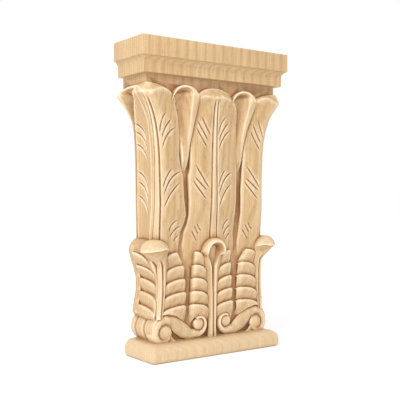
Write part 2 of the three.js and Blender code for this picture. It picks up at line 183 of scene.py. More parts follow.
def sunk_from_side(points):
    """Straight in from the side."""
    back = points.copy()
    back[:, 0] -= np.sign(back[:, 0]) * GROUND_DEPTH / 2 * MM
    return back


def on_front(front, side=1):
    """Front face: distance across is signed outwards on that side."""
    return lambda across, out, z: place(side * across, front(z) + out, z)


def on_corner(reach, front, side=1, rounding=CORNER_ROUND, shift=0.0):
    """Round the rounded corner: across is negative on the front and positive on the side."""

    def at(across, out, z):
        radius = rounding(z) if callable(rounding) else rounding
        quarter = radius * math.pi / 4
        across = across + shift
        x = reach(z) - radius
        depth = front(z) - radius
        turn = math.pi / 4 - np.clip(across, -quarter, quarter) / radius
        past = np.minimum(across + quarter, 0)
        back = np.maximum(across - quarter, 0)
        ring = radius + out
        return place(side * (x + past + ring * np.cos(turn)), depth - back + ring * np.sin(turn), z)

    return at


def flare_share(z):
    """Share of the full flare: next to nothing below, and all of it at the leaves' tips."""
    return np.clip((z - LOWER_TOP) / (LEAF_TIP - LOWER_TOP), 0, 1) ** FLARE_POWER


def left_round(z):
    return LEAF_ROUND + 0 * z


def right_round(z):
    """The right corner leaf comes to a sharper corner at its tip."""
    return LEAF_ROUND * (1 - 0.55 * ease(z, 199, LEAF_TIP))


def tall_side(z):
    return LEAF_HALF + SIDE_FLARE * flare_share(z) - 7 * ease(LOWER_TOP - z, 0, 20)


def tall_front(z):
    """The upper tier's front, which lies back a little at its foot and then dives behind the lower tier."""
    low_part = 2 * ease(-z, -130, -LOWER_TOP) + 5 * ease(-z, -LOWER_TOP, -50)
    return LEAF_FACE + FRONT_FLARE * flare_share(z) - low_part


def low_side(z):
    """The lower tier's corner seen from the front: a slight waist, and a flare under the corner curl."""
    waist_depth, waist_height = 1.5, 49
    waist = waist_depth * np.sin(np.pi * np.clip((z - SCROLL_TOP) / waist_height, 0, 1))
    return LOWER_HALF + 1 - waist + 4 * ease(z, LOWER_TOP - 22, LOWER_TOP - 11)


# Share of the roll's reach, by height above the scroll
side_swell = profile([(0, 0.4), (18, 0), (28, 0), (35.5, 0.3), (44, 0.75), (51, 1), (56.5, 0.85),
                      (60.5, 0.45), (61.5, 0)], 2.0)


def wall_half(z):
    """The side wall of the lower tier, which swells into a roll at its top."""
    return SIDE_WALL + side_swell(z - SCROLL_TOP) * (ROLL_REACH - SIDE_WALL)


def wall_side(z):
    return np.maximum(wall_half(z) + 1.7, LOWER_HALF)


def low_front(z):
    return LOWER_FACE + 0 * z


def wander(across, z, seed):
    """The slow unevenness that a hand-held gouge leaves, in millimetres."""
    turn = seed * 1.7
    slow = np.sin(across * 0.21 + z * 0.047 + turn) * np.sin(z * 0.113 - across * 0.07 + 2.1 * turn)
    quick = np.sin(across * 0.62 - z * 0.23 + turn * 3.1) * np.sin(z * 0.31 + across * 0.17 + turn)
    return 0.16 * slow + 0.05 * quick


def bowed(start, middle, end, count=28):
    """Points on the arc from start to end that passes through the middle point."""
    t = np.linspace(0, 1, count)[:, None]
    start, middle, end = (np.array(spot, float) for spot in (start, middle, end))
    pull = 2 * middle - (start + end) / 2
    return (1 - t) ** 2 * start + 2 * t * (1 - t) * pull + t ** 2 * end


def vein_cut(across, z, veins):
    """Depth of the V cuts at each point: full along the middle of a vein and run out at its ends."""
    reach = 1.5
    cut = np.zeros_like(across)
    for start, middle, end, depth in veins:
        line = bowed(start, middle, end)
        near = ((across > line[:, 0].min() - reach) & (across < line[:, 0].max() + reach)
                & (z > line[:, 1].min() - reach) & (z < line[:, 1].max() + reach))
        if not near.any():
            continue
        spots = np.stack([across[near], z[near]], -1)
        best = np.full(len(spots), 9.0)
        strength = np.zeros(len(spots))
        for i in range(len(line) - 1):
            a, b = line[i], line[i + 1]
            span = b - a
            t = np.clip(((spots - a) @ span) / (span @ span), 0, 1)
            gap = np.linalg.norm(spots - a - t[:, None] * span, axis=1)
            closer = gap < best
            best = np.where(closer, gap, best)
            share = (i + t) / (len(line) - 1)
            run_out = np.minimum(ease(share, -0.02, 0.18), ease(1 - share, -0.02, 0.3))
            strength = np.where(closer, run_out, strength)
        half_width = 0.45 + 0.45 * strength
        found = 1.7 * depth * strength * np.clip(1 - best / half_width, 0, 1)
        cut[near] = np.maximum(cut[near], found)
    return cut


# Veins on half a leaf, as (start, middle, end, depth): start is near the rib, end is out and up.
# Left of a rib they are straight chops, right of it they bow, as one hand cuts them.
CHOPS = [
    ((4.4, 183.0), (9.6, 191.5), (14.6, 200.0), 0.75),
    ((6.6, 178.6), (12.4, 187.5), (18.2, 196.4), 0.8),
    ((6.9, 172.2), (12.8, 181.2), (18.8, 190.2), 0.75),
    ((5.0, 138.4), (12.2, 149.4), (19.2, 160.2), 0.9),
    ((7.2, 137.0), (13.5, 143.2), (19.6, 149.2), 0.7),
    ((7.8, 129.6), (14.6, 138.0), (21.6, 147.2), 0.85),
    ((12.0, 103.4), (14.6, 106.4), (16.4, 110.4), 0.6),
    ((14.6, 100.6), (16.8, 104.2), (18.8, 108.4), 0.6),
    ((16.0, 94.6), (18.9, 99.8), (21.6, 104.9), 0.6),
]
BOWS = [
    ((3.4, 182.4), (6.4, 193.0), (12.6, 200.4), 0.7),
    ((4.6, 178.6), (8.8, 188.0), (16.0, 195.4), 0.8),
    ((4.4, 170.6), (9.4, 181.6), (18.6, 189.2), 0.75),
    ((4.4, 138.4), (7.4, 148.2), (13.6, 156.6), 0.8),
    ((4.6, 131.6), (11.0, 146.4), (21.6, 153.2), 0.85),
    ((5.2, 122.8), (10.8, 134.6), (20.2, 144.8), 0.85),
    ((9.8, 103.2), (12.6, 109.6), (18.0, 113.6), 0.7),
    ((10.6, 98.4), (14.6, 104.6), (20.6, 108.4), 0.7),
    ((13.8, 95.2), (16.2, 98.6), (19.6, 101.0), 0.6),
]
SIDE_BOWS = [
    ((13.6, 176.8), (20.0, 187.4), (31.5, 193.2), 0.8),
    ((13.6, 168.4), (20.6, 180.4), (32.5, 186.8), 0.85),
    ((14.0, 160.6), (21.6, 171.2), (31.5, 175.6), 0.8),
    ((12.6, 134.0), (19.4, 146.6), (31.0, 153.4), 0.85),
    ((12.8, 127.0), (19.6, 138.6), (30.0, 144.6), 0.8),
    ((13.4, 117.2), (19.6, 127.4), (30.0, 133.4), 0.8),
]


def widened(veins, times):
    """The same veins spread over a wider half leaf."""
    return [tuple((x * times, z) for x, z in spots) + (depth,) for *spots, depth in veins]


def tall_leaf(name, at, sink, edges, drops, powers, veins, seed, crested=0.0):
    """Two halves that fall from a grooved rib to a rounded edge, under a bevelled tip.

    The pairs give the left and right half's edge, the drop of its arch at the edge and the arch's power.
    A crested leaf has a sharp crescent at its tip, and its second half is dished beside a crest line.
    """
    foot = SCROLL_TOP + 8
    bevel_start = 0.93
    rim_width = 1.3

    def shape(across, up):
        share = 0.3 * across + 0.7 * np.sin(across * math.pi / 2)
        side = np.abs(share)
        drop = np.where(share < 0, drops[0], drops[1])
        power = np.where(share < 0, powers[0], powers[1])
        arch = LEAF_TOP - drop + drop * np.clip(1 - side ** power, 0, 1) ** (1 / power)
        crescent = np.clip(1 - (side / 0.86) ** 2, 0, 1) ** 0.8
        if crested:
            crescent = 1.3 * np.clip(1 - np.abs(share + 0.1) / 0.62, 0, 1) ** 1.15
        lip = (LEAF_TOP - LEAF_TIP - rim_width) * crescent
        tip = arch - rim_width - lip - 0.9 * np.exp(-((side - 0.1) / 0.12) ** 2) + 0.5 * np.sin(share * 9)
        body = np.clip(up / bevel_start, 0, 1)
        bevel = np.clip((up - bevel_start) / (1 - bevel_start), 0, 1)
        z = foot + body * (tip - foot) + bevel * (arch - tip)
        edge = np.where(share < 0, edges[0](z), edges[1](z))
        spread = side * edge
        fall = LEAF_FALL * (0.45 * side + 0.55 * side ** 2.4) * (1 - 0.5 * flare_share(z))
        groove = 1.3 + 2.2 * np.clip((LEAF_TOP - z) / 125, 0, 1)
        fade = ease(LEAF_TIP - z, 0.5, 9)
        gap = np.abs(spread - groove)
        grooves = RIB_GROOVE * fade * np.clip(1 - gap / 1.05, 0, 1)
        crown = 0.35 * fade * np.clip(1 - (spread / groove) ** 2, 0, 1)
        rib = grooves - crown
        left = vein_cut(spread, z, veins[0]) * (share < 0) * ease(edge - spread, 1.5, 3.5)
        right = (1 + 0.4 * crested) * vein_cut(spread, z, veins[1]) * (share >= 0)
        rim = np.clip(1 - (edge - spread) / rim_width, 0, 1)
        round_off = 1.2 * (1 - np.sqrt(np.clip(1 - rim ** 2, 0, 1)))
        lean = FRONT_FLARE * flare_share(z) * 0.5 * side ** 2
        crest_line = 6.4 + 4 * ease(z, 190, LEAF_TOP)
        on_side = crested * (share > 0)
        dish = np.sin(math.pi * np.clip((spread - crest_line) / (edge - crest_line), 0, 1))
        crest = (1.0 * np.exp(-((spread - crest_line) / 1.3) ** 2) - 1.3 * dish) * on_side
        fall = fall * (1 - 0.9 * on_side)
        round_off = round_off * (1 - 0.5 * on_side)
        out = crest - fall - rib - left - right - round_off - lean + wander(share * 24, z, seed)
        out_top = -FRONT_FLARE * flare_share(z)
        out = np.where(bevel > 0, out * (1 - bevel) + out_top * bevel, out)
        return at(np.sign(share) * spread, out, z)

    return carved_skin(name, 170, 560, shape, sink)


# The tall leaves' edges by height: the middle leaf's two, each corner leaf's inner one from the middle
# of the front, and its outer one from the back. The two gaps wander apart, as a hand cuts them.
middle_left = profile([(44, 25), (91, 30.2), (103, 28), (108, 25.4), (117, 23.4), (130, 23.6), (149, 24.4),
                       (155, 22.6), (178, 22.6), (200, 22.8), (223, 23)], 6.0)
middle_right = profile([(44, 20), (91, 24.4), (100, 23.6), (112, 24.6), (130, 25.7), (149, 26.2), (178, 25.2),
                        (200, 24.4), (223, 23.6)], 6.0)
inner_left = profile([(44, 36), (91, 33), (103, 31), (110, 27.8), (117, 26.2), (130, 28.6), (149, 29.6),
                      (155, 32), (165, 33.6), (178, 33.4), (189, 34.5), (198, 36), (208, 39.5),
                      (223, 41)], 6.0)
inner_right = profile([(44, 30), (91, 27.4), (100, 29), (117, 31.2), (138, 31), (160, 32.8), (182, 33.8),
                       (190, 34.8), (198, 36.6), (208, 39.8), (223, 41)], 6.0)
back_edge = profile([(44, 8), (100, 4.5), (130, 3), (178, 4), (188, 5), (196, 7), (205, 11.5), (213, 18.5),
                     (223, 20)])


def middle_leaf():
    edges = (middle_left, middle_right)
    return tall_leaf("middle_leaf", on_front(tall_front), sunk_behind, edges, (27, 27), (2.4, 2.4),
                     (CHOPS, BOWS), 1)


def corner_leaf(side):
    """The leaf folded round a corner, its rib near the corner. At the front the left one's veins bow."""
    inner = inner_left if side < 0 else inner_right
    leaf_round = left_round if side < 0 else right_round

    def front_part(z):
        return tall_side(z) - inner(z) - leaf_round(z) * (1 - math.pi / 4) + RIB_SHIFT

    def side_part(z):
        return tall_front(z) - back_edge(z) - leaf_round(z) * (1 - math.pi / 4) - RIB_SHIFT

    front_veins = widened(BOWS, 1.25) if side < 0 else widened(CHOPS, 1.12)
    at = on_corner(tall_side, tall_front, side, leaf_round, RIB_SHIFT)
    return tall_leaf("corner_leaf", at, sunk_in_corner, (front_part, side_part), (14, 9), (2.4, 3.2),
                     (front_veins, SIDE_BOWS), 2 + side, 1.0)


# Half width of a curled leaf's stem, by height
stem_half = profile([(10, 4.6), (BASE_TOP, 4.4), (22, 3.6), (36, 4.2), (50, 5), (62, 5.8), (72, 7.2),
                     (78, 9.4), (84, 12.4)], 3.0)


def stem_surface(spread, side, half, z, neck, apart):
    """Height of the stem under a curl: a groove at each side of its middle line, and rounded banks."""
    groove_depth, groove_half = 2.1, 1.35
    grooved = 1 - ease(z, neck - 4, neck + 6)
    groove = groove_depth * grooved * np.clip(1 - np.abs(np.abs(spread) - apart) / groove_half, 0, 1)
    return STEM_RISE - groove - 2.2 * side ** 3


def curled_leaf(name, at, sink, foot):
    """A leaf that curls over forwards: a thick rolled rim round a scoop that runs down into the stem."""
    radius, reach = CURL_RADIUS, CURL_REACH
    shoulder = LOWER_TOP - radius
    neck = shoulder - 5
    hook = shoulder + 2.5
    closing = 6.5
    rim = 6.6
    outer_round, inner_round = 3.0, 3.2

    def shape(across, up):
        share = 0.25 * across + 0.75 * np.sin(across * math.pi / 2)
        side = np.abs(share)
        top = shoulder + radius * np.sqrt(np.clip(1 - share ** 2, 0, 1)) + 0.05
        z = foot + up * (top - foot)
        under = np.clip((hook - z) / closing, 0, 1)
        grown = radius - (radius - stem_half(hook - closing)) * (1 - np.sqrt(1 - under ** 2))
        half = np.where(z > hook, radius, np.where(z < hook - closing, stem_half(z), grown))
        spread = share * half
        inset = np.maximum(0, radius - np.hypot(spread, np.maximum(0, z - shoulder)))
        outer_turn = np.clip(inset / outer_round, 0, 1)
        inner_turn = np.clip((inset - inner_round) / (rim - inner_round), 0, 1)
        roll = np.sqrt(1 - (1 - outer_turn) ** 2) * (1 - ease(inner_turn, 0, 1))
        ends_at = shoulder - 3.4 + 3.0 * np.clip((np.abs(spread) - 6) / 5, 0, 1) ** 2
        ends = np.sqrt(np.clip(1 - np.clip((ends_at + 4.2 - z) / 4.2, 0, 1) ** 2, 0, 1))
        wide = 2.0 + 3.8 * ease(z, neck - 9, neck + 3)
        scoop = 2.6 * np.clip(1 - (spread / wide) ** 2, 0, 1)
        scoop = scoop * ease(z, neck - 34, neck + 2) * ease(LOWER_TOP - z, 4, 8)
        out = stem_surface(spread, side, half, z, neck - 3, 0) + (reach + 1.2) * roll * ends - scoop
        return at(spread, out + 0.5 * wander(spread, z, 3), z)

    return carved_skin(name, 120, 320, shape, sink)


def corner_curled_leaf(at, sink):
    """The larger curl that turns over on the corner: a full dome that ends below in an overhanging lip."""
    radius, reach, foot = CORNER_CURL_RADIUS, CORNER_CURL_REACH, SCROLL_TOP - 3
    neck = LOWER_TOP - CURL_RADIUS - 5
    heart = LOWER_TOP - CORNER_CURL_RISE
    underside = 12.5

    def shape(across, up):
        share = 0.25 * across + 0.75 * np.sin(across * math.pi / 2)
        side = np.abs(share)
        top = heart + CORNER_CURL_RISE * np.sqrt(np.clip(1 - side ** 2, 0, 1)) + 0.05
        z = foot + up * (top - foot)
        above = np.clip((z - heart) / CORNER_CURL_RISE, 0, 1)
        below = np.clip((heart - z) / underside, 0, 1)
        stem = stem_half(np.minimum(z, heart - underside)) + 0.6
        half = stem + (radius - stem) * np.where(below > 0.16, (1 - (below - 0.16) / 0.84) ** 1.2, 1)
        spread = share * half
        lip = heart + 0.2 - 1.3 * np.sin(share * 3.6 + 0.3)
        under = np.clip((lip - z) / (lip - heart + underside), 0, 1)
        round_side = np.clip(1 - side ** 2.1, 0, 1)
        dome = np.sqrt(np.clip(round_side - above ** 2, 0, 1)) * (1 - 0.5 * np.clip(heart - z, 0, 4) / 8)
        belly = 0.74 * np.sqrt(round_side) * (1 - under) ** 1.5
        lift = reach * (belly + (dome - belly) * ease(z, lip - 0.6, lip + 0.3))
        out = stem_surface(spread, side, half, z, neck - 2, 2.9) + lift
        return at(spread, out + 0.5 * wander(spread, z, 5), z)

    return carved_skin("corner_curl", 130, 320, shape, sink)


# Upper edge of the scroll, by distance from the middle of the front
scroll_edge = profile([(4, 20), (6.5, 29), (10, 31.8), (14.3, 32.8), (18.5, 30.5), (20.8, 26.5),
                       (22.2, 24.4), (26, 26.8), (30, 29.5), (37.6, 34.4), (45.2, 36.3), (53.7, 35)], 1.5)


def scroll_edge_from_corner(spread):
    return scroll_edge(LOWER_HALF - spread)


def side_roll_edge(spread):
    return SCROLL_TOP - 8 + 0 * spread


def lobe_column(name, at, sink, side, far_edge, ends_at, growth=0.0):
    """Scale-like lobes beside a stem: each rises in an arc from the stem and laps over the one above.

    They run from the stem out to the far edge, which moves out from lobe to lobe, faster with a growth.
    The lowest ones dip where they meet what the column ends at.
    """
    laps, lap_drops = [0, 0.025, 0.09, 0.22, 0.6, 1, 1.5], [1.5, 0.5, 0.05, 0, 0.6, 2.1, 4.2]
    made = []
    first_top = LOWER_TOP - CURL_RADIUS + 1
    pitch = (first_top - SCROLL_TOP - 7) / (LOBE_COUNT - 1)
    for i in range(LOBE_COUNT):
        top = first_top - pitch * i
        far = far_edge - 3.2 + 0.9 * i + growth * i ** 2
        near = float(stem_half(top - 10)) - 0.4
        bow = 8.6 - 0.5 * i

        def shape(across, up, top=top, far=far, near=near, bow=bow, i=i):
            step = (across + 1) / 2
            down = 1.5 * (1 - up) ** 1.5
            drop = np.interp(down, laps, lap_drops)
            arc = bow * (1 - np.sqrt(np.clip(1 - (1 - np.clip(step / 0.86, 0, 1)) ** 2, 0, 1)))
            outer = 2.6 * (1 - np.sqrt(np.clip(1 - np.clip((step - 0.82) / 0.19, 0, 1) ** 2, 0, 1)))
            z = top - arc - outer - down * pitch
            round_off = 2.6 * np.clip((step - 0.8) / 0.2, 0, 1) ** 2.5 + 1.0 * (1 - step) ** 4
            crown = 0.9 * np.sin(math.pi * np.clip(step, 0, 0.9)) - 0.2
            spread = near + step * (far - near)
            crown = crown - 2.2 * ease(ends_at(spread) + 1.2 - z, 0, 1.6)
            return at(side * spread, crown - drop - round_off + wander(spread, z, i), z)

        made.append(carved_skin(name, 56, 60, shape, sink))
    return made


def volute_point(volute, reach, degrees):
    turn = math.radians(degrees)
    return volute[0] + reach * math.cos(turn), volute[1] + reach * math.sin(turn)


def scroll_band(side):
    """The band of one S scroll, over the outer volute and down under the inner one.

    Round a volute each stop has its direction in degrees, its distance from the eye's middle and the
    band's half width. Between the volutes it has its place across and up and the half width.
    """
    bedded = 9
    around_outer = [(-170, 2.5, 2.6), (-130, 4.2, 2.8), (-100, 5.8, 2.8), (-70, 7.6, 2.9), (-40, 8.9, 2.9),
                    (-10, 9.6, 3.0), (25, 9.9, 3.1), (60, 10.5, 3.5), (90, 10.9, 3.8)]
    across = [(39.5, 30.3, 4.9), (34.2, 25.5, 5.9), (28.7, 21.5, 5.7), (23.3, 18.3, 4.6)]
    around_inner = [(-70, 8.5, 3.6), (-95, 8.3, 3.0), (-125, 7.7, 2.4), (-155, 7.3, 2.0), (-185, 7.0, 1.9),
                    (-215, 6.7, 1.8), (-245, 6.3, 1.7), (-275, 5.7, 1.5), (-300, 4.8, 1.2)]
    stops = [(*volute_point(OUTER_VOLUTE, reach, degrees), half) for degrees, reach, half in around_outer]
    stops += across
    stops += [(*volute_point(INNER_VOLUTE, reach, degrees), half) for degrees, reach, half in around_inner]
    stops = np.array(stops)
    lengths = np.concatenate([[0], np.cumsum(np.linalg.norm(np.diff(stops[:, :2], axis=0), axis=1))])
    line_x, line_z, line_half = (profile(list(zip(lengths, stops[:, k])), 4.0) for k in range(3))

    def shape(across, up):
        at = up * lengths[-1]
        x, z, half = line_x(at), line_z(at), line_half(at)
        run_x = line_x(at + 0.4) - line_x(at - 0.4)
        run_z = line_z(at + 0.4) - line_z(at - 0.4)
        run = np.hypot(run_x, run_z) + 1e-9
        off = across * half
        crown = -1.7 * np.abs(across) ** 3 - 0.5 * across ** 2
        spot_x = x + run_z / run * off
        spot_z = z - run_x / run * off
        return place(side * spot_x, SCROLL_FACE + crown + 0.3 * wander(spot_x, spot_z, 4), spot_z)

    def sink(points):
        back = points.copy()
        back[:, 1] += bedded * MM
        return back

    return carved_skin("scroll_band", 26, 320, shape, sink)


def boss(side, volute):
    """A domed round boss at a volute's heart: a disc, extruded forwards in narrowing steps."""
    x, z, _, radius = volute
    bedded, rim_height, dome_height = 10, 8.2, 2.2
    bpy.ops.object.select_all(action="DESELECT")
    centre = place(side * x, SCROLL_FACE - bedded, z)
    bpy.ops.mesh.primitive_circle_add(vertices=64, radius=radius * MM, fill_type="NGON", location=centre,
                                      rotation=(math.pi / 2, 0, 0))
    piece = bpy.context.object
    piece.name = "volute_boss"
    bpy.ops.object.mode_set(mode="EDIT")
    bpy.ops.mesh.select_all(action="SELECT")
    front = 0.0
    scale = 1.0
    for degrees in (0, 15, 30, 45, 60, 75, 88):
        turn = math.radians(degrees)
        forward = (rim_height + dome_height * math.sin(turn)) * MM
        width = math.cos(turn * 0.98)
        bpy.ops.mesh.extrude_region_move(TRANSFORM_OT_translate={"value": (0, front - forward, 0)})
        bpy.ops.transform.resize(value=(width / scale, 1, width / scale),
                                 center_override=(centre[0], BACK, centre[2]))
        front = forward
        scale = width
    bpy.ops.object.mode_set(mode="OBJECT")
    return piece


def side_roll(side):
    """The roll that the scroll makes along the side, turned in three swellings from back to front."""
    radius = OUTER_VOLUTE[2]
    swelling = profile([(0, 0.5), (2.5, 0.05), (5, 0.1), (7.2, 1.3), (9.5, 0.1), (14, -0.1), (18.5, 0.1),
                        (20.6, 1.3), (23, 0.1), (28, -0.1), (32, 0.2), (35, 0.8)], 1.2)

    def shape(across, up):
        turn = across * math.pi * 0.52
        depth = up * (SCROLL_FACE - 1.4)
        ring = radius - swelling(depth)
        x = BARREL_REACH - radius + ring * np.cos(turn)
        return place(side * x, depth, BASE_TOP + radius - 1.6 + ring * np.sin(turn))

    return carved_skin("side_roll", 90, 110, shape, sunk_from_side)


def small_leaf(name, at, sink, centre, half, foot, foot_drop, foot_sink, tip_fall, scooped, facing=1):
    """A scooped leaf of the second plane, with a thick rounded rim on the side that it doesn't face."""
    arch = 14

    def shape(across, up):
        share = 0.4 * across + 0.6 * np.sin(across * math.pi / 2)
        side = np.abs(share)
        top = LEAF_TOP - arch + arch * np.sqrt(1 - 0.96 * share ** 2)
        z = foot + up * (top - foot)
        rise = -foot_drop * (1 - ease(z, foot, LEAF_TOP - 6))
        rise = rise - tip_fall * np.clip((z - LEAF_TIP) / 7.5, 0, 1)
        rise = rise - foot_sink * (1 - ease(z, foot, foot + 16))
        deep = ease(z, foot + 16, LEAF_TOP - 16) * ease(top - z, 0.6, 5)
        from_floor = np.minimum(facing * share - 0.3, 0) / 0.72
        scoop = -scooped * np.clip(1 - from_floor ** 2, 0, 1) ** 1.1 * deep
        fall = -1.6 * np.clip((side - 0.7) / 0.3, 0, 1) ** 2 - 0.9 * ease(z - top, -1.8, 0)
        return at(centre(z) + share * half(z), rise + scoop + fall + 0.5 * wander(share * 12, z, 7), z)

    return carved_skin(name, 70, 200, shape, sink)


def front_small_leaf(side):
    """Between the middle leaf and a corner leaf. Both are scooped on their left, as one hand cuts them."""
    half = profile([(148, 1.6), (158, 3), (175, 5), (190, 8), (200, 10.5), (210, 13), (LEAF_TOP, 14.5)])

    def centre(z):
        return 28 + 2.5 * ease(z, 180, LEAF_TOP)

    return small_leaf("small_leaf", on_front(tall_front, side), sunk_behind, centre, half, LEAF_TOP - 74,
                      foot_drop=3.6, foot_sink=3.5, tip_fall=0.8, scooped=6.8, facing=-side)


def back_small_leaf(side):
    """Behind a corner leaf on the side: a rim along the back, and a bowl up to the corner leaf's edge."""
    half = profile([(97, 17.5), (190, 17.5), (205, 18.5), (LEAF_TOP, 20)])
    rim = profile([(97, 55), (137, 55.6), (171, 56.3), (184, 57.2), (194, 59.2), (204, 65), (208, 67.8),
                   (215, 73.6), (219.5, 71), (LEAF_TOP, 67)], 4.0)
    middle_depth, front_limit = 17, 26

    def at(across, out, z):
        depth = middle_depth - across
        edge = back_edge(z)
        bowl = (2.8 + 8 * ease(z, 172, 203)) * ease(LEAF_TOP - 1 - z, 0, 6) * ease(depth / edge, 0.14, 0.5)
        sunk = bowl + 6 * ease(depth - edge, 0, 5)
        return place(side * (rim(z) + out - sunk), np.clip(depth, -1, front_limit), z)

    return small_leaf("back_small_leaf", at, sunk_from_side, lambda z: 0 * z, half, LOWER_TOP - 1,
                      foot_drop=0, foot_sink=0, tip_fall=0, scooped=0)


def risen(name, start, steps):
    """A block grown upwards from a rectangle: each step extrudes its top and sizes it about the flat back.

    The start is the level, half width, depth and round of the front corners, and a step the next three.
    """
    z, half, depth, corner = start
    bpy.ops.object.select_all(action="DESELECT")
    bpy.ops.mesh.primitive_plane_add(size=1, location=place(0, depth / 2, z))
    piece = bpy.context.object
    piece.name = name
    bpy.ops.object.mode_set(mode="EDIT")
    bpy.ops.mesh.select_all(action="SELECT")
    bpy.ops.transform.resize(value=(2 * half * MM, depth * MM, 1))
    if corner:
        bpy.ops.object.mode_set(mode="OBJECT")
        for vertex in piece.data.vertices:
            vertex.select = vertex.co.y < 0
        bpy.ops.object.mode_set(mode="EDIT")
        bpy.ops.mesh.select_mode(type="VERT")
        bpy.ops.mesh.bevel(affect="VERTICES", offset=corner * MM, segments=8)
        bpy.ops.mesh.select_all(action="SELECT")
    bpy.ops.mesh.select_mode(type="FACE")
    for next_z, next_half, next_depth in steps:
        bpy.ops.mesh.extrude_region_move(TRANSFORM_OT_translate={"value": (0, 0, (next_z - z) * MM)})
        bpy.ops.transform.resize(value=(next_half / half, next_depth / depth, 1),
                                 center_override=(0, BACK, LOW.z + next_z * MM))
        z, half, depth = next_z, next_half, next_depth
    bpy.ops.object.mode_set(mode="OBJECT")
    return piece


def base_moulding():
    """Rounded moulding that runs round three sides, with a fuller round above than below."""
    half, top_round, under_round, corner = 66, 7.5, 3.2, 2.5
    steps = []
    for turn in np.linspace(0, math.pi / 2, 9)[1:]:
        out = under_round * (1 - math.sin(turn))
        steps.append((under_round * (1 - math.cos(turn)) * 1.1, half - out, BLOCK_DEPTH - out))
    for turn in np.linspace(0, math.pi / 2, 13):
        out = top_round * (1 - math.cos(turn))
        steps.append((BASE_TOP - top_round * (1 - math.sin(turn)), half - out, BLOCK_DEPTH - out))
    return risen("base_moulding", (0, half - under_round, BLOCK_DEPTH - under_round, corner), steps)


def sunk_block():
    """The ground that the carving stands on, with the rolled top of the lower tier along each side."""
    tier = LOWER_TOP - SCROLL_TOP
    steps = []
    for share in np.linspace(0, 1, 60):
        level = SCROLL_TOP + share * tier
        steps.append((level, float(wall_half(level)), GROUND_DEPTH))
    steps.append((LOWER_TOP + 0.2, GROUND_HALF, GROUND_DEPTH))
    for share in np.linspace(0.5, 0.95, 14):
        out = SIDE_FLARE * share ** FLARE_POWER
        steps.append((LOWER_TOP + share * (LEAF_TOP - LOWER_TOP), GROUND_HALF + out, GROUND_DEPTH))
    return risen("sunk_block", (BASE_TOP - 3, SIDE_WALL, GROUND_DEPTH, 0), steps)


def side_margin():
    """The flat margin along the back of each side, which stands proud of the ground behind the lobes."""
    steps = []
    for level in np.linspace(SCROLL_TOP, LOWER_TOP - 6, 40):
        proud = MARGIN_PROUD - 1.6 * ease(level, 60, 84)
        steps.append((float(level), float(wall_half(level) + proud), MARGIN_DEPTH))
    return risen("side_margin", (SCROLL_TOP - 4, SIDE_WALL + MARGIN_PROUD, MARGIN_DEPTH, 0), steps)


def abacus():
    """Neck, lower fascia, cove and upper fascia."""
    neck_half, neck_depth = 66.3, 36.7
    fascia_half, fascia_depth = 71.2, 41.7
    cove_steps = 12
    steps = [(NECK_TOP, neck_half, neck_depth), (NECK_TOP, fascia_half, fascia_depth),
             (LOWER_FASCIA_TOP, fascia_half, fascia_depth)]
    for i in range(1, cove_steps + 1):
        turn = math.pi / 2 * i / cove_steps
        out = 1 - math.cos(turn)
        steps.append((LOWER_FASCIA_TOP + (COVE_TOP - LOWER_FASCIA_TOP) * math.sin(turn),
                      fascia_half + out * (ABACUS_HALF - fascia_half),
                      fascia_depth + out * (BLOCK_DEPTH - fascia_depth)))
    steps.append((DRAWN_HEIGHT, ABACUS_HALF, BLOCK_DEPTH))
    steps.insert(0, (LEAF_TIP + 3, neck_half, neck_depth))
    return risen("abacus", (LEAF_TIP - 3, GROUND_HALF + SIDE_FLARE / 2, neck_depth - 4, 0), steps)


def all_forms():
    """Every form of the carving, each a closed shell that reaches into the block."""
    forms = [base_moulding(), sunk_block(), side_margin(), abacus(), middle_leaf()]
    forms.append(curled_leaf("middle_curl", on_front(low_front), sunk_behind, BASE_TOP - 1))
    for side in (-1, 1):
        corner = on_corner(low_side, low_front, side)
        wall = on_corner(wall_side, low_front, side)
        forms.append(corner_leaf(side))
        forms.append(corner_curled_leaf(corner, sunk_in_corner))
        forms += lobe_column("lobe", on_front(low_front, side), sunk_behind, 1, FRONT_LOBE_EDGE, scroll_edge)
        forms += lobe_column("lobe", corner, sunk_in_corner, -1, CORNER_LOBE_EDGE, scroll_edge_from_corner)
        forms += lobe_column("lobe", wall, sunk_in_corner, 1, SIDE_LOBE_EDGE, side_roll_edge, 0.03)
        forms += [scroll_band(side), boss(side, OUTER_VOLUTE), boss(side, INNER_VOLUTE), side_roll(side)]
        forms += [front_small_leaf(side), back_small_leaf(side)]
    return forms


def smoothed(points, ends, rounds):
    """Points after so many rounds of moving each to the mean of its neighbours."""
    first, second = ends
    count = len(points)
    links = np.bincount(first, minlength=count) + np.bincount(second, minlength=count)
    for _ in range(rounds):
        totals = []
        for k in range(3):
            onwards = np.bincount(first, points[second, k], count)
            totals.append(onwards + np.bincount(second, points[first, k], count))
        points = np.stack(totals, -1) / links[:, None]
    return points


